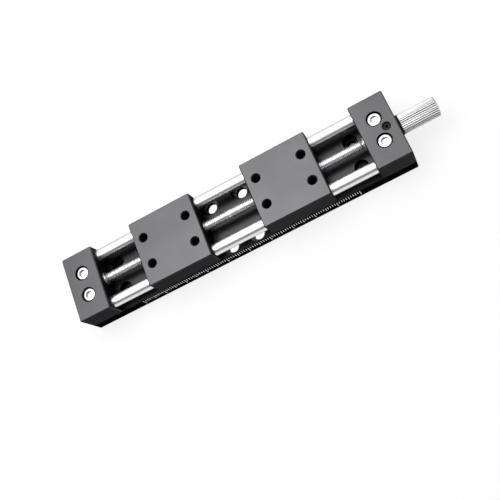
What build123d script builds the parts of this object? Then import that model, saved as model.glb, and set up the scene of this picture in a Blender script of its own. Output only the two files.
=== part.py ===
from build123d import *

import os

# A hand-driven linear slide with two carriages on two guide rods. The lead screw has a right-hand
# thread towards the knob and a left-hand thread on the other half, so turning the knob moves the
# carriages apart or together.
# X runs along the slide towards the knob, Y towards the back, Z up.
# The origin is the middle of the base plate's underside. All sizes are in millimetres.

# Base plate and end blocks
body_width = 29.0
inner_length = 120.0
block_length = 14.5
block_height = 10.5
base_thickness = 6.0
base_chamfer = 0.3
block_chamfer = 0.4

# Guide rods
rod_diameter = 5.0
rod_side_wall = 1.0
rod_recess = 0.5
rod_chamfer = 0.4

# Carriages
carriage_length = 29.0
carriage_height = 10.5
carriage_lift = 0.5
carriage_offset = 26.3
carriage_chamfer = 0.4
carriage_hole_spacing_x = 20.0
carriage_hole_spacing_y = 12.0
carriage_hole_diameter = 3.3
carriage_hole_chamfer = 0.45

# Lead nuts, one pressed into each carriage from its outer end
nut_diameter = 7.0
nut_length = 14.0
nut_recess = 2.0

# Lead screw
thread_diameter = 4.0
journal_diameter = 3.0
screw_passage_diameter = 4.6
screw_end_recess = 1.0

# Flanged bushes that carry the lead screw in the end blocks
bush_diameter = 4.5
bush_length = 4.0
bush_flange_diameter = 6.0
bush_flange_thickness = 0.75
journal_passage_diameter = 3.4

# Thrust collar and knob
collar_diameter = 8.4
collar_thickness = 0.8
collar_chamfer = 0.25
knob_diameter = 8.1
knob_length = 15.0
knob_end_chamfer = 0.5
knob_groove_count = 30
knob_groove_depth = 0.22
knob_groove_half_width = 0.3
knob_bore_depth = 11.0
knob_bore_clearance = 0.5

# Cap screws of the end blocks
block_screw_spacing = 10.0
block_screw_diameter = 3.0
block_screw_length = 12.0
block_screw_head_diameter = 5.5
block_screw_head_height = 3.0
block_screw_hex = 2.5
block_screw_hex_depth = 1.6
block_screw_sink = 0.5
block_screw_bore_diameter = 6.3
block_screw_passage_diameter = 3.4

# Set screws: under the guide rods, under the nuts, over the journal and in the knob
rod_set_diameter = 3.0
rod_set_length = 2.5
rod_set_hex = 1.5
nut_set_diameter = 3.0
nut_set_length = 2.0
nut_set_hex = 1.5
nut_set_sink = 0.1
lock_screw_diameter = 3.0
lock_screw_length = 3.0
lock_screw_hex = 1.5
lock_screw_setback = 4.3
lock_hole_chamfer = 0.3
grub_diameter = 2.5
grub_length = 2.0
grub_hex = 1.3
grub_setback = 4.0
set_screw_hex_depth = 1.0

# Counterbored mounting holes of the base plate
middle_hole_diameter = 4.8
middle_bore_diameter = 8.0
middle_bore_depth = 3.1
middle_hole_spacing_x = 12.0
middle_hole_spacing_y = 20.0
middle_odd_hole_shift = 2.4
end_hole_diameter = 3.4
end_bore_diameter = 6.2
end_bore_depth = 3.3
end_hole_spacing_x = 110.0
end_hole_spacing_y = 12.0

# Fits: gaps on the radius or between faces
running_gap = 0.03
thread_gap = 0.05
seat_gap = 0.01
thrust_gap = 0.05
lock_gap = 0.05

# Places that follow from the sizes
body_length = inner_length + 2 * block_length
inner_face = inner_length / 2
outer_face = body_length / 2
block_middle = inner_face + block_length / 2
block_top = base_thickness + block_height
axis_height = base_thickness + block_height / 2
rod_spacing = body_width - rod_diameter - 2 * rod_side_wall
rod_reach = outer_face - rod_recess
rod_underside = axis_height - rod_diameter / 2
carriage_underside = base_thickness + carriage_lift
carriage_top = carriage_underside + carriage_height
carriage_outer_face = carriage_offset + carriage_length / 2
nut_outer_face = carriage_outer_face - nut_recess
nut_inner_face = nut_outer_face - nut_length
nut_middle = nut_outer_face - nut_length / 2
screw_head_seat = block_top - block_screw_sink - block_screw_head_height
screw_tip = screw_head_seat - block_screw_length
thread_reach = inner_face - bush_flange_thickness - thrust_gap
journal_radius = journal_diameter / 2
collar_face = outer_face + thrust_gap
knob_face = collar_face + collar_thickness
knob_end = knob_face + knob_length
journal_end = knob_face + knob_bore_depth - knob_bore_clearance
lock_screw_x = outer_face - lock_screw_setback
lock_screw_tip = axis_height + journal_radius + lock_gap
grub_tip = axis_height - journal_radius - seat_gap
grub_x = knob_face + grub_setback

# Sketch planes: square to the slide with the lead screw's axis at their origin, and the base's top
screw_plane = Plane(origin=(0, 0, axis_height), x_dir=(0, 1, 0), z_dir=(1, 0, 0))
base_top = Plane.XY.offset(base_thickness)

os.makedirs("parts", exist_ok=True)


# Base plate: counterbored mounting holes, and tapped holes for the block screws
middle_holes = [
    (-middle_hole_spacing_x / 2, -middle_hole_spacing_y / 2),
    (middle_hole_spacing_x / 2, -middle_hole_spacing_y / 2),
    (middle_hole_spacing_x / 2, middle_hole_spacing_y / 2),
    (-middle_hole_spacing_x / 2 - middle_odd_hole_shift, middle_hole_spacing_y / 2),
]
with BuildPart() as base_plate:
    with BuildSketch():
        Rectangle(body_length, body_width)
    extrude(amount=base_thickness)
    chamfer(base_plate.edges(), base_chamfer)
    with Locations(base_top):
        with Locations(*middle_holes):
            CounterBoreHole(middle_hole_diameter / 2, middle_bore_diameter / 2, middle_bore_depth)
        with GridLocations(end_hole_spacing_x, end_hole_spacing_y, 2, 2):
            CounterBoreHole(end_hole_diameter / 2, end_bore_diameter / 2, end_bore_depth)
        with GridLocations(2 * block_middle, block_screw_spacing, 2, 2):
            Hole(block_screw_diameter / 2 + seat_gap)
base_plate.part.label = "base_plate"
export_step(base_plate.part, "parts/base_plate.step")

# Left end block: rod bores, bush seat, journal passage, screw counterbores and rod set screw holes
with BuildPart() as end_block_left:
    with BuildSketch(base_top):
        with Locations((-block_middle, 0)):
            Rectangle(block_length, body_width)
    extrude(amount=block_height)
    seat_edges = end_block_left.faces().sort_by(Axis.Z)[0].edges()
    chamfer(end_block_left.edges() - seat_edges, block_chamfer)
    with BuildSketch(screw_plane.offset(-inner_face)):
        with GridLocations(rod_spacing, 0, 2, 1):
            Circle(rod_diameter / 2 + seat_gap)
        Circle(journal_passage_diameter / 2)
    extrude(amount=-block_length, mode=Mode.SUBTRACT)
    with BuildSketch(screw_plane.offset(-inner_face)):
        Circle(bush_diameter / 2 + seat_gap)
    extrude(amount=-bush_length, mode=Mode.SUBTRACT)
    with Locations(Plane.XY.offset(block_top)):
        with Locations((-block_middle, -block_screw_spacing / 2), (-block_middle, block_screw_spacing / 2)):
            CounterBoreHole(
                block_screw_passage_diameter / 2,
                block_screw_bore_diameter / 2,
                block_top - screw_head_seat,
            )
    with BuildSketch(base_top):
        with Locations((-block_middle, -rod_spacing / 2), (-block_middle, rod_spacing / 2)):
            Circle(rod_set_diameter / 2 + seat_gap)
    extrude(amount=axis_height - base_thickness, mode=Mode.SUBTRACT)
end_block_left.part.label = "end_block_left"
export_step(end_block_left.part, "parts/end_block_left.step")

# Right end block: the left one mirrored, with a chamfered hole for the lock screw above the journal
with BuildPart() as end_block_right:
    add(mirror(end_block_left.part, about=Plane.YZ, mode=Mode.PRIVATE))
    with Locations(Plane.XY.offset(block_top)):
        with Locations((lock_screw_x, 0)):
            Hole(lock_screw_diameter / 2 + thread_gap, depth=block_top - axis_height)
    top_rims = end_block_right.faces().sort_by(Axis.Z)[-1].edges().filter_by(GeomType.CIRCLE)
    chamfer(top_rims.sort_by(Edge.radius)[0], lock_hole_chamfer)
end_block_right.part.label = "end_block_right"
export_step(end_block_right.part, "parts/end_block_right.step")

# Guide rods
with BuildPart() as guide_rod_front:
    with BuildSketch(screw_plane.offset(-rod_reach)):
        with Locations((-rod_spacing / 2, 0)):
            Circle(rod_diameter / 2)
    extrude(amount=2 * rod_reach)
    chamfer(guide_rod_front.edges().filter_by(GeomType.CIRCLE), rod_chamfer)
guide_rod_front.part.label = "guide_rod_front"
export_step(guide_rod_front.part, "parts/guide_rod_front.step")

with BuildPart() as guide_rod_back:
    add(mirror(guide_rod_front.part, about=Plane.XZ, mode=Mode.PRIVATE))
guide_rod_back.part.label = "guide_rod_back"
export_step(guide_rod_back.part, "parts/guide_rod_back.step")

# Four cap screws, two through each end block into the base plate
with BuildPart() as block_screws:
    with BuildSketch(Plane.XY.offset(screw_tip)):
        with GridLocations(2 * block_middle, block_screw_spacing, 2, 2):
            Circle(block_screw_diameter / 2)
    extrude(amount=block_screw_length)
    with BuildSketch(Plane.XY.offset(screw_head_seat)):
        with GridLocations(2 * block_middle, block_screw_spacing, 2, 2):
            Circle(block_screw_head_diameter / 2)
    extrude(amount=block_screw_head_height)
    with BuildSketch(Plane.XY.offset(block_top - block_screw_sink)):
        with GridLocations(2 * block_middle, block_screw_spacing, 2, 2):
            RegularPolygon(block_screw_hex / 2, 6, major_radius=False)
    extrude(amount=-block_screw_hex_depth, mode=Mode.SUBTRACT)
block_screws.part.label = "block_screws"
export_step(block_screws.part, "parts/block_screws.step")

# Four set screws that hold the guide rods from below, under the end blocks
with BuildPart() as rod_set_screws:
    with BuildSketch(Plane.XY.offset(rod_underside - seat_gap)):
        with GridLocations(2 * block_middle, rod_spacing, 2, 2):
            Circle(rod_set_diameter / 2)
    extrude(amount=-rod_set_length)
    with BuildSketch(Plane.XY.offset(rod_underside - seat_gap - rod_set_length)):
        with GridLocations(2 * block_middle, rod_spacing, 2, 2):
            RegularPolygon(rod_set_hex / 2, 6, major_radius=False)
    extrude(amount=set_screw_hex_depth, mode=Mode.SUBTRACT)
rod_set_screws.part.label = "rod_set_screws"
export_step(rod_set_screws.part, "parts/rod_set_screws.step")

# Flanged bushes of the lead screw, pressed into the inner faces of the end blocks
with BuildPart() as screw_bush_left:
    with BuildSketch(screw_plane.offset(-inner_face)):
        Circle(bush_diameter / 2)
    extrude(amount=-bush_length)
    with BuildSketch(screw_plane.offset(-inner_face)):
        Circle(bush_flange_diameter / 2)
    extrude(amount=bush_flange_thickness)
    with BuildSketch(screw_plane.offset(-inner_face + bush_flange_thickness)):
        Circle(journal_radius + running_gap)
    extrude(amount=-bush_length - bush_flange_thickness, mode=Mode.SUBTRACT)
screw_bush_left.part.label = "screw_bush_left"
export_step(screw_bush_left.part, "parts/screw_bush_left.step")

with BuildPart() as screw_bush_right:
    add(mirror(screw_bush_left.part, about=Plane.YZ, mode=Mode.PRIVATE))
screw_bush_right.part.label = "screw_bush_right"
export_step(screw_bush_right.part, "parts/screw_bush_right.step")

# Lead screw with a thinner journal at each end
with BuildPart() as lead_screw:
    with BuildSketch(screw_plane.offset(-outer_face + screw_end_recess)):
        Circle(journal_radius)
    extrude(amount=journal_end + outer_face - screw_end_recess)
    with BuildSketch(screw_plane.offset(-thread_reach)):
        Circle(thread_diameter / 2)
    extrude(amount=2 * thread_reach)
lead_screw.part.label = "lead_screw"
export_step(lead_screw.part, "parts/lead_screw.step")

# Thrust collar between the right end block and the knob
with BuildPart() as thrust_collar:
    with BuildSketch(screw_plane.offset(collar_face)):
        Circle(collar_diameter / 2)
    extrude(amount=collar_thickness)
    chamfer(thrust_collar.faces().sort_by(Axis.X)[-1].edges(), collar_chamfer)
    with BuildSketch(screw_plane.offset(collar_face)):
        Circle(journal_radius + seat_gap)
    extrude(amount=collar_thickness, mode=Mode.SUBTRACT)
thrust_collar.part.label = "thrust_collar"
export_step(thrust_collar.part, "parts/thrust_collar.step")

# Knob: straight V-grooves all round, chamfered ends, a blind bore and a hole for its grub screw
with BuildPart() as knob:
    with BuildSketch(screw_plane.offset(knob_face)):
        Circle(knob_diameter / 2)
    extrude(amount=knob_length)
    chamfer(knob.edges().filter_by(GeomType.CIRCLE), knob_end_chamfer)
    with BuildSketch(screw_plane.offset(knob_face)):
        with PolarLocations(knob_diameter / 2, knob_groove_count):
            Polygon(
                (-knob_groove_depth, 0),
                (knob_groove_depth, -2 * knob_groove_half_width),
                (knob_groove_depth, 2 * knob_groove_half_width),
                align=None,
            )
    extrude(amount=knob_length, mode=Mode.SUBTRACT)
    with BuildSketch(screw_plane.offset(knob_face)):
        Circle(journal_radius + seat_gap)
    extrude(amount=knob_bore_depth, mode=Mode.SUBTRACT)
    with BuildSketch(Plane.XY.offset(axis_height)):
        with Locations((grub_x, 0)):
            Circle(grub_diameter / 2 + seat_gap)
    extrude(amount=-knob_diameter, mode=Mode.SUBTRACT)
knob.part.label = "knob"
export_step(knob.part, "parts/knob.step")

# Grub screw that fixes the knob on the journal, from below
with BuildPart() as knob_grub_screw:
    with BuildSketch(Plane.XY.offset(grub_tip)):
        with Locations((grub_x, 0)):
            Circle(grub_diameter / 2)
    extrude(amount=-grub_length)
    with BuildSketch(Plane.XY.offset(grub_tip - grub_length)):
        with Locations((grub_x, 0)):
            RegularPolygon(grub_hex / 2, 6, major_radius=False)
    extrude(amount=set_screw_hex_depth, mode=Mode.SUBTRACT)
knob_grub_screw.part.label = "knob_grub_screw"
export_step(knob_grub_screw.part, "parts/knob_grub_screw.step")

# Lock screw in the top of the right end block, drawn just clear of the journal that it clamps
with BuildPart() as lock_screw:
    with BuildSketch(Plane.XY.offset(lock_screw_tip)):
        with Locations((lock_screw_x, 0)):
            Circle(lock_screw_diameter / 2)
    extrude(amount=lock_screw_length)
    with BuildSketch(Plane.XY.offset(lock_screw_tip + lock_screw_length)):
        with Locations((lock_screw_x, 0)):
            RegularPolygon(lock_screw_hex / 2, 6, major_radius=False)
    extrude(amount=-set_screw_hex_depth, mode=Mode.SUBTRACT)
lock_screw.part.label = "lock_screw"
export_step(lock_screw.part, "parts/lock_screw.step")

# Right carriage: rod bores, a passage for the lead screw, the nut's seat and four tapped holes
with BuildPart() as carriage_right:
    with BuildSketch(Plane.XY.offset(carriage_underside)):
        with Locations((carriage_offset, 0)):
            Rectangle(carriage_length, body_width)
    extrude(amount=carriage_height)
    chamfer(carriage_right.edges(), carriage_chamfer)
    with BuildSketch(screw_plane.offset(carriage_outer_face)):
        with GridLocations(rod_spacing, 0, 2, 1):
            Circle(rod_diameter / 2 + running_gap)
        Circle(screw_passage_diameter / 2)
    extrude(amount=-carriage_length, mode=Mode.SUBTRACT)
    with BuildSketch(screw_plane.offset(carriage_outer_face)):
        Circle(nut_diameter / 2 + seat_gap)
    extrude(amount=nut_inner_face - carriage_outer_face, mode=Mode.SUBTRACT)
    with Locations(Plane.XY.offset(carriage_top)):
        with Locations((carriage_offset, 0)):
            with GridLocations(carriage_hole_spacing_x, carriage_hole_spacing_y, 2, 2):
                Hole(carriage_hole_diameter / 2, depth=carriage_height)
    top_rims = carriage_right.faces().sort_by(Axis.Z)[-1].edges().filter_by(GeomType.CIRCLE)
    chamfer(top_rims, carriage_hole_chamfer)
    with BuildSketch(Plane.XY.offset(carriage_underside)):
        with Locations((nut_middle, 0)):
            Circle(nut_set_diameter / 2 + seat_gap)
    extrude(amount=axis_height - carriage_underside, mode=Mode.SUBTRACT)
carriage_right.part.label = "carriage_right"
export_step(carriage_right.part, "parts/carriage_right.step")

with BuildPart() as carriage_left:
    add(mirror(carriage_right.part, about=Plane.YZ, mode=Mode.PRIVATE))
carriage_left.part.label = "carriage_left"
export_step(carriage_left.part, "parts/carriage_left.step")

# Lead nuts, with a flat-bottomed dimple below for the set screw that stops them turning
with BuildPart() as lead_nut_right:
    with BuildSketch(screw_plane.offset(nut_inner_face)):
        Circle(nut_diameter / 2)
    extrude(amount=nut_length)
    with BuildSketch(screw_plane.offset(nut_inner_face)):
        Circle(thread_diameter / 2 + thread_gap)
    extrude(amount=nut_length, mode=Mode.SUBTRACT)
    with BuildSketch(Plane.XY.offset(carriage_underside)):
        with Locations((nut_middle, 0)):
            Circle(nut_set_diameter / 2 + seat_gap)
    extrude(amount=nut_set_sink + nut_set_length + seat_gap, mode=Mode.SUBTRACT)
lead_nut_right.part.label = "lead_nut_right"
export_step(lead_nut_right.part, "parts/lead_nut_right.step")

with BuildPart() as lead_nut_left:
    add(mirror(lead_nut_right.part, about=Plane.YZ, mode=Mode.PRIVATE))
lead_nut_left.part.label = "lead_nut_left"
export_step(lead_nut_left.part, "parts/lead_nut_left.step")

# Set screws of the lead nuts, in the carriages' undersides
with BuildPart() as nut_set_screw_right:
    with BuildSketch(Plane.XY.offset(carriage_underside + nut_set_sink)):
        with Locations((nut_middle, 0)):
            Circle(nut_set_diameter / 2)
    extrude(amount=nut_set_length)
    with BuildSketch(Plane.XY.offset(carriage_underside + nut_set_sink)):
        with Locations((nut_middle, 0)):
            RegularPolygon(nut_set_hex / 2, 6, major_radius=False)
    extrude(amount=set_screw_hex_depth, mode=Mode.SUBTRACT)
nut_set_screw_right.part.label = "nut_set_screw_right"
export_step(nut_set_screw_right.part, "parts/nut_set_screw_right.step")

with BuildPart() as nut_set_screw_left:
    add(mirror(nut_set_screw_right.part, about=Plane.YZ, mode=Mode.PRIVATE))
nut_set_screw_left.part.label = "nut_set_screw_left"
export_step(nut_set_screw_left.part, "parts/nut_set_screw_left.step")
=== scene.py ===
import math

import bmesh
import bpy
from mathutils import Matrix, Vector


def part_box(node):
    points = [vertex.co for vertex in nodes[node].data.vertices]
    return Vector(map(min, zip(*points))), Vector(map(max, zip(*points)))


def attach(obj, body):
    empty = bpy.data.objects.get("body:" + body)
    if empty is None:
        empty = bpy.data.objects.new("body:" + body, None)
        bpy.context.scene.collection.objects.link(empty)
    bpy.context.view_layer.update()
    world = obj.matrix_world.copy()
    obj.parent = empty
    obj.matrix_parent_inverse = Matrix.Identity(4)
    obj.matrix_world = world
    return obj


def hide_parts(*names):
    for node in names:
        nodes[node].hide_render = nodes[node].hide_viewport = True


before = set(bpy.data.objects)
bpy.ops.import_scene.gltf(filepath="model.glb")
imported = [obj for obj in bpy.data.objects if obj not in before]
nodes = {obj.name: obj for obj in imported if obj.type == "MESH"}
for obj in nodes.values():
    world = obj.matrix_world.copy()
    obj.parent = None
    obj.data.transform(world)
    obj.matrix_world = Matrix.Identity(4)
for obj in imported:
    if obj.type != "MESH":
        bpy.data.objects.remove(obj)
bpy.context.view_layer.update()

# A manual linear slide with two carriages. Metres, X towards the knob, Y to the back, Z up.
# Made here: smooth guide rods, bushes with small flanges, cap screws with hexagon sockets, the threaded lead
# screw, the grooved knob, the threads in the tapped holes, the ruler and all finishes. The other CAD nodes
# keep their shapes.
MM = 0.001

base_low, base_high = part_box("base_plate")
screw_low, screw_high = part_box("lead_screw")
axis_height = (screw_low.z + screw_high.z) / 2
thread_radius = (screw_high.z - screw_low.z) / 2
thread_pitch = 0.7 * MM
knob_grooves = 30
# Tapped holes, from the middle of their carriage
hole_along = 10.0 * MM
hole_across = 6.0 * MM


# Finishes. Patterns read Object coordinates in metres.
def start_finish(name, colour, metallic, roughness):
    finish = bpy.data.materials.new(name)
    finish.use_nodes = True
    shader = finish.node_tree.nodes["Principled BSDF"]
    shader.inputs["Base Color"].default_value = (*colour, 1.0)
    shader.inputs["Metallic"].default_value = metallic
    shader.inputs["Roughness"].default_value = roughness
    place = finish.node_tree.nodes.new("ShaderNodeTexCoord")
    return finish, finish.node_tree, shader, place.outputs["Object"]


def grain(tree, coords, scale, stretch=(1.0, 1.0, 1.0), detail=2.0):
    """Noise value of the given scale per metre, stretched along the axes."""
    mapping = tree.nodes.new("ShaderNodeMapping")
    mapping.inputs["Scale"].default_value = stretch
    noise = tree.nodes.new("ShaderNodeTexNoise")
    noise.inputs["Scale"].default_value = scale
    noise.inputs["Detail"].default_value = detail
    tree.links.new(coords, mapping.inputs["Vector"])
    tree.links.new(mapping.outputs["Vector"], noise.inputs["Vector"])
    return noise.outputs["Fac"]


def spread(tree, value, low=0.0, high=1.0, start=0.3, end=0.7):
    """Moves a value from the range start to end, where noise mostly lies, to the range low to high."""
    remap = tree.nodes.new("ShaderNodeMapRange")
    remap.inputs["From Min"].default_value = start
    remap.inputs["From Max"].default_value = end
    remap.inputs["To Min"].default_value = low
    remap.inputs["To Max"].default_value = high
    tree.links.new(value, remap.inputs["Value"])
    return remap.outputs["Result"]


def set_or_link(tree, socket, value):
    if isinstance(value, bpy.types.NodeSocket):
        tree.links.new(value, socket)
    else:
        socket.default_value = value


def tint(tree, value, first, second):
    """The first colour where the value is 0 and the second where it is 1; each is numbers or a socket."""
    mix = tree.nodes.new("ShaderNodeMix")
    mix.data_type = "RGBA"
    for name, colour in (("A", first), ("B", second)):
        if isinstance(colour, tuple):
            colour = (*colour, 1.0)
        set_or_link(tree, mix.inputs[name], colour)
    tree.links.new(value, mix.inputs["Factor"])
    return mix.outputs["Result"]


def calculate(tree, operation, first, second=None):
    step = tree.nodes.new("ShaderNodeMath")
    step.operation = operation
    set_or_link(tree, step.inputs[0], first)
    if second is not None:
        set_or_link(tree, step.inputs[1], second)
    return step.outputs["Value"]


def split_place(tree, coords):
    """X, Y and Z of a place as three values."""
    parts = tree.nodes.new("ShaderNodeSeparateXYZ")
    tree.links.new(coords, parts.inputs["Vector"])
    return parts.outputs["X"], parts.outputs["Y"], parts.outputs["Z"]


def sum_of_squares(tree, first, second):
    first_square = calculate(tree, "MULTIPLY", first, first)
    second_square = calculate(tree, "MULTIPLY", second, second)
    return calculate(tree, "ADD", first_square, second_square)


def between(tree, value, low, high):
    """1 where the value lies between low and high, and 0 elsewhere."""
    past_low = calculate(tree, "GREATER_THAN", value, low)
    under_high = calculate(tree, "LESS_THAN", value, high)
    return calculate(tree, "MULTIPLY", past_low, under_high)


def vary_gloss(tree, shader, pattern, low, high):
    tree.links.new(spread(tree, pattern, low, high), shader.inputs["Roughness"])


def vary_colour(tree, shader, value, first, second):
    tree.links.new(tint(tree, value, first, second), shader.inputs["Base Color"])


def raise_bumps(tree, shader, pattern, height):
    bump = tree.nodes.new("ShaderNodeBump")
    bump.inputs["Strength"].default_value = 1.0
    bump.inputs["Distance"].default_value = height
    tree.links.new(pattern, bump.inputs["Height"])
    tree.links.new(bump.outputs["Normal"], shader.inputs["Normal"])


def countersink_painted_shade(tree, coords, colour):
    """Painted shade: deeper black in the countersinks of the tapped holes, where shade falls; the left
    carriage mirrors the right one.
    """
    low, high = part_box("carriage_right")
    rim = 2.1 * MM
    x, y = split_place(tree, coords)[:2]
    from_carriage = calculate(tree, "SUBTRACT", calculate(tree, "ABSOLUTE", x), (low.x + high.x) / 2)
    along = calculate(tree, "SUBTRACT", calculate(tree, "ABSOLUTE", from_carriage), hole_along)
    across = calculate(tree, "SUBTRACT", calculate(tree, "ABSOLUTE", y), hole_across)
    countersink_shade_mask = calculate(tree, "LESS_THAN", sum_of_squares(tree, along, across), rim ** 2)
    return tint(tree, countersink_shade_mask, colour, (0.045, 0.045, 0.045))


def black_anodised(name, light, gloss_low, gloss_high, painted_countersink_shade=False):
    """Satin black: a dark metallic sheen that stays dark on faces seen at a low angle."""
    finish, tree, shader, coords = start_finish(name, (light, light, light), metallic=1.0, roughness=0.40)
    shader.inputs["Specular Tint"].default_value = (0.04, 0.04, 0.04, 1.0)
    dark = 0.93 * light
    pale = 1.07 * light
    bluer = 1.03
    patches = spread(tree, grain(tree, coords, scale=60.0))
    colour = tint(tree, patches, (dark, dark, bluer * dark), (pale, pale, bluer * pale))
    # Painted shade: the carriages' countersinks are darkened as if in shade.
    if painted_countersink_shade:
        colour = countersink_painted_shade(tree, coords, colour)
    tree.links.new(colour, shader.inputs["Base Color"])
    fine = grain(tree, coords, scale=5000.0, detail=3.0)
    vary_gloss(tree, shader, fine, gloss_low, gloss_high)
    raise_bumps(tree, shader, fine, height=0.0015 * MM)
    return finish


def ground_steel():
    """Guide rods: faint grinding rings round the rod."""
    bright = (0.88, 0.88, 0.89)
    finish, tree, shader, coords = start_finish("ground_steel", bright, metallic=1.0, roughness=0.33)
    shader.inputs["Specular Tint"].default_value = (0.15, 0.15, 0.15, 1.0)
    rings = grain(tree, coords, scale=900.0, stretch=(9.0, 1.0, 1.0), detail=3.0)
    vary_gloss(tree, shader, rings, low=0.30, high=0.36)
    raise_bumps(tree, shader, rings, height=0.0003 * MM)
    return finish


def turned_steel():
    """Lead screw: bright steel with small patches of more and less polish."""
    bright = (0.82, 0.82, 0.83)
    darker_tone = (0.77, 0.77, 0.78)
    finish, tree, shader, coords = start_finish("turned_steel", bright, metallic=1.0, roughness=0.33)
    polish = grain(tree, coords, scale=400.0)
    vary_gloss(tree, shader, polish, low=0.30, high=0.38)
    vary_colour(tree, shader, spread(tree, polish), bright, darker_tone)
    return finish


def knurled_steel():
    """Knob: bright steel, with painted shade at the bottom of its straight grooves."""
    land = (0.70, 0.70, 0.71)
    groove_shade = (0.30, 0.30, 0.30)
    inside_grooves = 3.75 * MM
    finish, tree, shader, coords = start_finish("knurled_steel", land, metallic=1.0, roughness=0.28)
    shader.inputs["Specular Tint"].default_value = (0.15, 0.15, 0.15, 1.0)
    y, z = split_place(tree, coords)[1:]
    up = calculate(tree, "SUBTRACT", z, axis_height)
    around = calculate(tree, "ARCTAN2", up, y)
    wave = calculate(tree, "COSINE", calculate(tree, "MULTIPLY", around, knob_grooves))
    radius = calculate(tree, "SQRT", sum_of_squares(tree, up, y))
    outside = calculate(tree, "GREATER_THAN", radius, inside_grooves)
    # Painted shade: the groove bottoms are darkened as if in shade.
    groove = calculate(tree, "MULTIPLY", spread(tree, wave, start=0.1, end=0.9), outside)
    vary_colour(tree, shader, groove, land, groove_shade)
    polish = grain(tree, coords, scale=500.0)
    vary_gloss(tree, shader, polish, low=0.25, high=0.33)
    return finish


def stainless():
    """Cap screws and bushes: bright, with painted shade over the depth of the screws' hexagon sockets."""
    bright = (0.76, 0.76, 0.76)
    darker_tone = (0.50, 0.50, 0.50)
    wall_top = 0.03 * MM
    wall_bottom = 1.15 * MM
    finish, tree, shader, coords = start_finish("stainless", bright, metallic=1.0, roughness=0.3)
    z = split_place(tree, coords)[2]
    head_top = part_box("block_screws")[1].z
    # Painted shade: a band at the sockets' depth is darkened as if in shade.
    socket_shade = between(tree, z, head_top - wall_bottom, head_top - wall_top)
    vary_colour(tree, shader, socket_shade, bright, darker_tone)
    fine = grain(tree, coords, scale=3500.0, detail=3.0)
    vary_gloss(tree, shader, fine, low=0.26, high=0.36)
    raise_bumps(tree, shader, fine, height=0.0008 * MM)
    return finish


def black_oxide():
    black = (0.004, 0.004, 0.0045)
    finish, tree, shader, coords = start_finish("black_oxide", black, metallic=0.0, roughness=0.5)
    shader.inputs["Specular IOR Level"].default_value = 0.15
    fine = grain(tree, coords, scale=3000.0, detail=3.0)
    vary_gloss(tree, shader, fine, low=0.45, high=0.58)
    raise_bumps(tree, shader, fine, height=0.003 * MM)
    return finish


def lock_screw_ring_and_shade():
    """Lock screw: black oxide with a grey ring round its socket on the top; the top outside that ring is
    left black as painted shade of an edge chamfer.
    """
    black = (0.002, 0.002, 0.002)
    ring_grey = (0.045, 0.045, 0.047)
    finish, tree, shader, coords = start_finish("lock_screw_ring_and_shade", black, metallic=0.0, roughness=0.5)
    shader.inputs["Specular IOR Level"].default_value = 0.1
    low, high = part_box("lock_screw")
    middle = (low + high) / 2
    socket = 0.75 * MM
    edge = 1.05 * MM
    skin = 0.05 * MM
    x, y, z = split_place(tree, coords)
    from_axis = calculate(tree, "SUBTRACT", x, middle.x)
    squares = sum_of_squares(tree, from_axis, calculate(tree, "SUBTRACT", y, middle.y))
    on_top = calculate(tree, "GREATER_THAN", z, high.z - skin)
    # Painted shade: outside the grey ring the top stays black, as if a chamfer there were in shade.
    rim = calculate(tree, "MULTIPLY", between(tree, squares, socket ** 2, edge ** 2), on_top)
    vary_colour(tree, shader, rim, black, ring_grey)
    fine = grain(tree, coords, scale=3000.0, detail=3.0)
    vary_gloss(tree, shader, fine, low=0.45, high=0.58)
    return finish


def moulded_black():
    black = (0.004, 0.004, 0.004)
    finish, tree, shader, coords = start_finish("moulded_black", black, metallic=0.0, roughness=0.55)
    shader.inputs["Specular IOR Level"].default_value = 0.1
    fine = grain(tree, coords, scale=2500.0)
    vary_gloss(tree, shader, fine, low=0.50, high=0.62)
    raise_bumps(tree, shader, fine, height=0.004 * MM)
    return finish


def machined_brass():
    dark = (0.68, 0.50, 0.22)
    pale = (0.78, 0.60, 0.30)
    finish, tree, shader, coords = start_finish("machined_brass", pale, metallic=1.0, roughness=0.25)
    rings = grain(tree, coords, scale=1000.0, stretch=(5.0, 1.0, 1.0), detail=3.0)
    vary_colour(tree, shader, spread(tree, rings), dark, pale)
    vary_gloss(tree, shader, rings, low=0.20, high=0.33)
    raise_bumps(tree, shader, rings, height=0.002 * MM)
    return finish


def engraved_silver():
    """Ruler marks: the aluminium that the engraving bares, matt and nearly white."""
    silver = (0.92, 0.92, 0.92)
    darker = (0.86, 0.86, 0.86)
    paler = (0.97, 0.97, 0.97)
    finish, tree, shader, coords = start_finish("engraved_silver", silver, metallic=0.7, roughness=0.55)
    patches = spread(tree, grain(tree, coords, scale=1500.0))
    vary_colour(tree, shader, patches, darker, paler)
    return finish


block_black = black_anodised("block_black", light=0.085, gloss_low=0.37, gloss_high=0.43)
carriage_black = black_anodised("carriage_black", light=0.085, gloss_low=0.37, gloss_high=0.43,
                                painted_countersink_shade=True)
# Painted shade: the base has the blocks' black anodising, made darker for the shade that lies on it between
# the blocks.
base_black_shaded = black_anodised("base_black_shaded", light=0.030, gloss_low=0.29, gloss_high=0.35)
rod_steel = ground_steel()
knob_steel = knurled_steel()
thread_steel = turned_steel()
screw_steel = stainless()
oxide = black_oxide()
rim_black = lock_screw_ring_and_shade()
collar_black = moulded_black()
brass = machined_brass()
mark_silver = engraved_silver()

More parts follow.
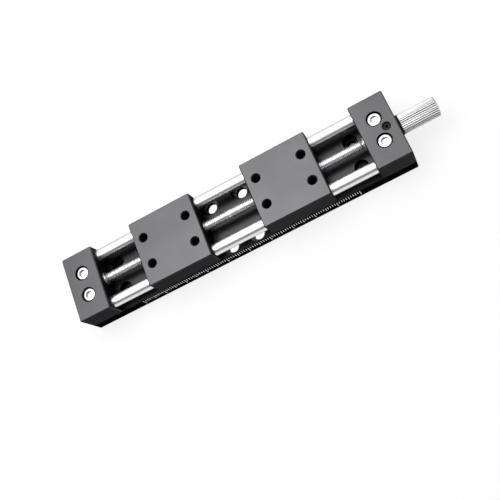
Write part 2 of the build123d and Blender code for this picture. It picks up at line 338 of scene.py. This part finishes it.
finishes = {
    "base_plate": base_black_shaded,
    "end_block_left": block_black,
    "end_block_right": block_black,
    "carriage_left": carriage_black,
    "carriage_right": carriage_black,
    "guide_rod_front": rod_steel,
    "guide_rod_back": rod_steel,
    "lead_screw": thread_steel,
    "knob": knob_steel,
    "block_screws": screw_steel,
    "screw_bush_left": screw_steel,
    "screw_bush_right": screw_steel,
    "rod_set_screws": oxide,
    "knob_grub_screw": oxide,
    "lock_screw": rim_black,
    "nut_set_screw_left": oxide,
    "nut_set_screw_right": oxide,
    "thrust_collar": collar_black,
    "lead_nut_left": brass,
    "lead_nut_right": brass,
}
for node, finish in finishes.items():
    nodes[node].data.materials.clear()
    nodes[node].data.materials.append(finish)


# New pieces
def add_object(name, data):
    thing = bpy.data.objects.new(name, data)
    bpy.context.scene.collection.objects.link(thing)
    return thing


def add_shape(name, shape):
    """Turns a bmesh into an object at the origin."""
    mesh = bpy.data.meshes.new(name)
    shape.to_mesh(mesh)
    shape.free()
    return add_object(name, mesh)


def make_piece(name, shape, finish, body):
    """Turns a finished bmesh into a piece that rides on a body; its edges over 35 degrees stay sharp."""
    sharp = math.radians(35.0)
    bmesh.ops.remove_doubles(shape, verts=shape.verts, dist=1e-7)
    bmesh.ops.recalc_face_normals(shape, faces=shape.faces)
    for face in shape.faces:
        face.smooth = True
    for edge in shape.edges:
        edge.smooth = edge.calc_face_angle(math.pi) < sharp
    piece = add_shape(name, shape)
    piece.data.materials.append(finish)
    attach(piece, body)
    return piece


def pick(parts, kind):
    return [part for part in parts if isinstance(part, kind)]


def draw_outline(shape, points, closed=False):
    corners = [shape.verts.new(point) for point in points]
    following = corners[1:] + corners[:1] if closed else corners[1:]
    return corners + [shape.edges.new(ends) for ends in zip(corners, following)]


def spin_once(shape, outline, centre, axis, steps):
    bmesh.ops.spin(shape, geom=outline, cent=centre, axis=axis, angle=2 * math.pi, steps=steps,
                   use_merge=True)


def turn_profile(shape, points, steps, across=0.0, closed=False):
    """Turns an outline of (x, radius) points about a line along X at the lead screw's height."""
    outline = draw_outline(shape, [(x, across, axis_height + radius) for x, radius in points], closed)
    spin_once(shape, outline, (0.0, across, axis_height), (1.0, 0.0, 0.0), steps)


def ground_rod(node):
    """A guide rod with chamfered ends, round enough for an even highlight."""
    low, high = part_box(node)
    radius = (high.z - low.z) / 2
    bevel = 0.4 * MM
    shape = bmesh.new()
    turn_profile(shape, [
        (low.x, 0.0), (low.x, radius - bevel), (low.x + bevel, radius),
        (high.x - bevel, radius), (high.x, radius - bevel), (high.x, 0.0),
    ], steps=96, across=(low.y + high.y) / 2)
    return shape


for side in ("front", "back"):
    rod = make_piece(f"ground_rod_{side}", ground_rod(f"guide_rod_{side}"),
                     rod_steel, "fixed_body")
    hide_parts(f"guide_rod_{side}")


def turned_bush(node, block_face, inward):
    """Flanged bush of the lead screw's journal; inward points from the block face to the carriages."""
    low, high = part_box(node)
    outer = low.x if inward > 0 else high.x
    flange_radius = 2.6 * MM
    flange_depth = 0.35 * MM
    sleeve = 2.25 * MM
    bore = 1.55 * MM
    bevel = 0.12 * MM
    front = block_face + inward * flange_depth
    shape = bmesh.new()
    turn_profile(shape, [
        (outer, bore), (outer, sleeve - bevel), (outer + inward * bevel, sleeve), (block_face, sleeve),
        (block_face, flange_radius), (front - inward * bevel, flange_radius), (front, flange_radius - bevel),
        (front, bore + bevel), (front - inward * bevel, bore),
    ], steps=48, closed=True)
    return shape


left_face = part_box("end_block_left")[1].x
right_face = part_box("end_block_right")[0].x
for side, block_face, inward in (("left", left_face, 1.0), ("right", right_face, -1.0)):
    bush = make_piece(f"flanged_bush_{side}", turned_bush(f"screw_bush_{side}", block_face, inward),
                      screw_steel, "fixed_body")
    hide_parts(f"screw_bush_{side}")


def cap_screws():
    """The four cap screws of the end blocks, each turned about its own axis, with a hexagon socket."""
    low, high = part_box("block_screws")
    from_corner = 2.75 * MM
    head = 2.62 * MM
    head_height = 3.0 * MM
    shank = 1.5 * MM
    hexagon = 1.25 * MM
    mouth = 1.6 * MM
    mouth_depth = 0.35 * MM
    socket_depth = 1.2 * MM
    drill_point = 0.2 * MM
    edge = 0.3 * MM
    fine_edge = 0.1 * MM
    tolerance = 0.01 * MM
    sixth = math.pi / 3
    seat = high.z - head_height
    floor = high.z - socket_depth
    shape = bmesh.new()
    profile = [
        (0.0, low.z), (shank - edge, low.z), (shank, low.z + edge), (shank, seat),
        (head - fine_edge, seat), (head, seat + fine_edge),
        (head, high.z - edge), (head - fine_edge, high.z - fine_edge), (head - edge, high.z),
        (mouth, high.z), (hexagon, high.z - mouth_depth), (hexagon, floor), (0.0, floor - drill_point),
    ]
    outline = draw_outline(shape, [(radius, 0.0, height) for radius, height in profile])
    spin_once(shape, outline, (0.0, 0.0, 0.0), (0.0, 0.0, 1.0), steps=48)
    for vertex in shape.verts:
        if abs(vertex.co.xy.length - hexagon) < tolerance:
            turned = math.atan2(vertex.co.y, vertex.co.x) % sixth
            vertex.co.xy *= 1 / math.cos(turned - sixth / 2)
    one_screw = shape.verts[:] + shape.edges[:] + shape.faces[:]
    for x in (low.x + from_corner, high.x - from_corner):
        for y in (low.y + from_corner, high.y - from_corner):
            copied = bmesh.ops.duplicate(shape, geom=one_screw)["geom"]
            bmesh.ops.translate(shape, vec=(x, y, 0.0), verts=pick(copied, bmesh.types.BMVert))
    bmesh.ops.delete(shape, geom=pick(one_screw, bmesh.types.BMVert), context="VERTS")
    return shape


screws = make_piece("socket_cap_screws", cap_screws(), screw_steel, "fixed_body")
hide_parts("block_screws")


def thread_ridge(shape, root, crest, centre, along, start, turns, hand, steps=24):
    """A helical ridge of whole turns, from start along the axis; hand is 1 for right, -1 for left."""
    half_root = 0.375 * thread_pitch
    half_crest = 0.0625 * thread_pitch
    section = [(root, -half_root), (crest, -half_crest), (crest, half_crest), (root, half_root)]
    side = along.orthogonal().normalized()
    points = [centre + side * radius + along * (start + offset) for radius, offset in section]
    before = set(shape.verts) | set(shape.edges) | set(shape.faces)
    outline = draw_outline(shape, points, closed=True)
    first = pick(outline, bmesh.types.BMVert)
    grown = bmesh.ops.spin(shape, geom=outline, cent=centre, axis=along, angle=hand * 2 * math.pi,
                           dvec=along * (thread_pitch / steps), steps=steps)
    last = pick(grown["geom_last"], bmesh.types.BMVert)
    present = shape.verts[:] + shape.edges[:] + shape.faces[:]
    one_turn = [part for part in present if part not in before]
    shape.faces.new(first)
    for count in range(1, turns):
        copied = bmesh.ops.duplicate(shape, geom=one_turn)
        moved = pick(copied["geom"], bmesh.types.BMVert)
        bmesh.ops.translate(shape, vec=along * (thread_pitch * count), verts=moved)
        last_copy = [copied["vert_map"][vertex] for vertex in last]
    # Sorted along the axis, the last corners follow each other round the ridge's end.
    shape.faces.new(sorted(last_copy, key=lambda vertex: vertex.co.dot(along)))


def opposed_thread_screw():
    """Lead screw with a left-hand thread on its left half and a right-hand thread on its right half."""
    turns = 83
    root = thread_radius - 0.43 * MM
    ridge_root = root - 0.05 * MM
    crest = thread_radius - 0.01 * MM
    relief = thread_radius - 0.2 * MM
    middle = 0.7 * MM
    slope = 0.4 * MM
    end = 59.5 * MM
    shoulder = 0.1 * MM
    journal = 1.5 * MM
    round_off = 0.3 * MM
    shape = bmesh.new()
    turn_profile(shape, [
        (screw_low.x, 0.0), (screw_low.x, journal - round_off), (screw_low.x + round_off, journal),
        (-end, journal), (-end + shoulder, root), (-middle - slope, root),
        (-middle, relief), (middle, relief), (middle + slope, root),
        (end - shoulder, root), (end, journal),
        (screw_high.x - round_off, journal), (screw_high.x, journal - round_off), (screw_high.x, 0.0),
    ], steps=48)
    centre = Vector((0.0, 0.0, axis_height))
    left_start = -(middle + turns * thread_pitch)
    for start, hand in ((left_start, -1), (middle, 1)):
        thread_ridge(shape, ridge_root, crest, centre, Vector((1, 0, 0)), start, turns, hand)
    return shape


threaded_screw = make_piece("threaded_lead_screw", opposed_thread_screw(), thread_steel,
                            "drive")
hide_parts("lead_screw")


def cut_away(shape, cutter):
    """Takes the cutter's shape out of the other shape."""
    whole = add_shape("whole", shape)
    tool = add_shape("cutter", cutter)
    cut = whole.modifiers.new("cut", "BOOLEAN")
    cut.operation = "DIFFERENCE"
    cut.solver = "EXACT"
    cut.object = tool
    seen = whole.evaluated_get(bpy.context.evaluated_depsgraph_get())
    result = bmesh.new()
    result.from_mesh(seen.data)
    for part in (whole, tool):
        mesh = part.data
        bpy.data.objects.remove(part)
        bpy.data.meshes.remove(mesh)
    return result


def knurled_knob():
    """Knob with straight grooves, a small chamfer at the collar, a blind bore and its grub screw's hole."""
    low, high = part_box("knob")
    radius = (high.z - low.z) / 2
    pitch = math.radians(360.0 / knob_grooves)
    points_per_groove = 14
    half_width = 0.3 * MM
    depth = 0.22 * MM
    front_bevel = 0.5 * MM
    collar_bevel = 0.12 * MM
    bore = 1.51 * MM
    bore_depth = 11.0 * MM
    hole_radius = 1.26 * MM
    hole_length = 5.0 * MM
    hole_from_collar = 4.0 * MM
    stations = [
        (high.x, radius - front_bevel), (high.x - front_bevel, radius), (low.x + collar_bevel, radius),
        (low.x, radius - collar_bevel), (low.x, bore), (low.x + bore_depth, bore),
    ]
    shape = bmesh.new()
    turned = Matrix.Translation((high.x, 0.0, axis_height)) @ Matrix.Rotation(math.pi / 2, 4, "Y")
    bmesh.ops.create_circle(shape, cap_ends=True, radius=radius,
                            segments=points_per_groove * knob_grooves, matrix=turned)
    edges = shape.edges[:]
    for x, reach in stations:
        if x != high.x:
            edges = pick(bmesh.ops.extrude_edge_only(shape, edges=edges)["geom"], bmesh.types.BMEdge)
        for vertex in {end for edge in edges for end in edge.verts}:
            outward = Vector((0.0, vertex.co.y, vertex.co.z - axis_height)).normalized()
            around = math.atan2(outward.z, outward.y)
            from_groove = abs(around - pitch * round(around / pitch)) * radius
            groove = depth * max(0.0, 1.0 - from_groove / half_width)
            vertex.co = Vector((x, 0.0, axis_height)) + outward * min(reach, radius - groove)
    bmesh.ops.edgeloop_fill(shape, edges=edges)
    bmesh.ops.recalc_face_normals(shape, faces=shape.faces)
    hole = bmesh.new()
    middle = Matrix.Translation((low.x + hole_from_collar, 0.0, axis_height - hole_length / 2))
    bmesh.ops.create_cone(hole, cap_ends=True, segments=32, radius1=hole_radius, radius2=hole_radius,
                          depth=hole_length, matrix=middle)
    return cut_away(shape, hole)


turned_knob = make_piece("knurled_knob", knurled_knob(), knob_steel, "drive")
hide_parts("knob")


def carriage_threads(node):
    """Thread ridges in a carriage's four tapped holes."""
    low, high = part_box(node)
    middle = (low + high) / 2
    root = 1.68 * MM
    crest = 1.55 * MM
    start = low.z + 0.5 * MM
    turns = 13
    shape = bmesh.new()
    for along in (-hole_along, hole_along):
        for across in (-hole_across, hole_across):
            centre = Vector((middle.x + along, middle.y + across, 0.0))
            thread_ridge(shape, root, crest, centre, Vector((0, 0, 1)), start, turns, hand=1, steps=20)
    return shape


for side in ("left", "right"):
    make_piece(f"tapped_threads_{side}", carriage_threads(f"carriage_{side}"), block_black,
               f"{side}_carriage")


def ruler_marks():
    """A ruler of a hundred one-millimetre steps along the top edge of the base's front face."""
    length = 100
    width = 0.2 * MM
    depth = 0.02 * MM
    chamfer = 0.3 * MM
    top = base_high.z - chamfer
    shape = bmesh.new()
    for step in range(length + 1):
        if step % 10 == 0:
            reach = 3.9 * MM
        elif step % 5 == 0:
            reach = 3.0 * MM
        else:
            reach = 2.1 * MM
        x = (step - length / 2) * MM
        bar = bmesh.ops.create_cube(shape, size=1.0)["verts"]
        bmesh.ops.scale(shape, vec=(width, depth, reach), verts=bar)
        bmesh.ops.translate(shape, vec=(x, base_low.y, top - reach / 2), verts=bar)
    return shape


make_piece("ruler_marks", ruler_marks(), mark_silver, "fixed_body")


# Floor, light and camera
def paper_white():
    """White paper that metal and glass show as white too; the object's shadow stays on it, except under the
    middle of the base, where painted light makes it fully white.
    """
    paper = (0.85, 0.85, 0.85)
    finish, tree, shader, coords = start_finish("paper_white", paper, metallic=0.0, roughness=0.9)
    shader.inputs["Specular IOR Level"].default_value = 0.0
    white = tree.nodes.new("ShaderNodeEmission")
    white.inputs["Color"].default_value = (1.0, 1.0, 1.0, 1.0)
    rays = tree.nodes.new("ShaderNodeLightPath")
    seen = rays.outputs["Is Camera Ray"]
    for kind in ("Is Glossy Ray", "Is Transmission Ray"):
        seen = calculate(tree, "MAXIMUM", seen, rays.outputs[kind])
    # Through the base's holes the paper shows fully white near the middle, as painted light over the base's
    # shadow, and in shadow near the ends.
    open_share = 0.8
    base_edge = 13.0 * MM
    stretches = (
        (-1.0 * MM, 20.0 * MM, 1.0),
        (45.0 * MM, 66.0 * MM, 0.0),
    )
    x, y = split_place(tree, coords)[:2]
    along = calculate(tree, "ABSOLUTE", x)
    under_base = calculate(tree, "LESS_THAN", calculate(tree, "ABSOLUTE", y), base_edge)
    lit = open_share
    for start, end, share in stretches:
        there = calculate(tree, "MULTIPLY", between(tree, along, start, end), under_base)
        lit = calculate(tree, "ADD", lit, calculate(tree, "MULTIPLY", there, share - open_share))
    blend = tree.nodes.new("ShaderNodeMixShader")
    tree.links.new(calculate(tree, "MULTIPLY", seen, lit), blend.inputs["Fac"])
    tree.links.new(shader.outputs["BSDF"], blend.inputs[1])
    tree.links.new(white.outputs["Emission"], blend.inputs[2])
    tree.links.new(blend.outputs["Shader"], tree.nodes["Material Output"].inputs["Surface"])
    return finish


def paper_sweep():
    """Pale floor that curves up into walls, low at the front and high behind, so metal keeps a dark line."""
    width = 8.0
    depth = 5.4
    height = 1.5
    front_height = 0.5
    back = 1.4
    bend = 0.3
    gap = 0.2 * MM
    flat = 0.999
    shape = bmesh.new()
    box = bmesh.ops.create_cube(shape, size=1.0)["verts"]
    bmesh.ops.scale(shape, vec=(width, depth, height), verts=box)
    bmesh.ops.translate(shape, vec=(0.0, back - depth / 2, height / 2), verts=box)
    for corner in box:
        if corner.co.z > 0.5 * height and corner.co.y < 0.0:
            corner.co.z = front_height
    shape.normal_update()
    lid = [face for face in shape.faces if face.normal.z > 0.5]
    bmesh.ops.delete(shape, geom=lid, context="FACES")
    bmesh.ops.reverse_faces(shape, faces=shape.faces)
    inner_edges = [edge for edge in shape.edges if len(edge.link_faces) == 2]
    bmesh.ops.bevel(shape, geom=inner_edges, offset=bend, segments=16, profile=0.5,
                    affect="EDGES", material=-1)
    for face in shape.faces:
        face.smooth = max(abs(part) for part in face.normal) < flat
    bmesh.ops.translate(shape, vec=(0.0, 0.0, -gap), verts=shape.verts)
    floor = add_shape("floor", shape)
    floor.data.materials.append(paper_white())


def softbox(name, place, aim, width, depth, brightness):
    """Area lamp whose face shows with the given brightness, 1 being white."""
    lamp = bpy.data.lights.new(name, "AREA")
    lamp.shape = "RECTANGLE"
    lamp.size = width
    lamp.size_y = depth
    lamp.energy = brightness * math.pi * width * depth
    stand = add_object(name, lamp)
    stand.location = place
    stand.rotation_euler = (Vector(aim) - Vector(place)).to_track_quat("-Z", "Y").to_euler()


paper_sweep()
softbox("ceiling_softbox", place=(-0.1, 0.38, 0.65), aim=(-0.1, 0.38, 0.0),
        width=1.6, depth=1.6, brightness=1.05)
softbox("key_softbox", place=(-0.13, 0.12, 0.56), aim=(0.0, 0.0, 0.01),
        width=0.46, depth=0.28, brightness=4.5)

world = bpy.data.worlds.new("studio")
world.use_nodes = True
fill_light = world.node_tree.nodes["Background"]
fill_light.inputs["Color"].default_value = (1.0, 1.0, 1.0, 1.0)
fill_light.inputs["Strength"].default_value = 0.2
bpy.context.scene.world = world

# The camera's place, turn and lens come from a fit on the object's edges in the photograph.
camera = add_object("camera", bpy.data.cameras.new("camera"))
camera.data.sensor_width = 36.0
camera.data.lens = 54.592
camera.data.clip_start = 0.01
camera.data.clip_end = 10.0
camera.location = (0.062463, -0.123649, 0.284501)
camera.rotation_euler = (0.253103, 0.338499, -0.388591)
bpy.context.scene.camera = camera
bpy.context.scene.view_settings.view_transform = "Standard"
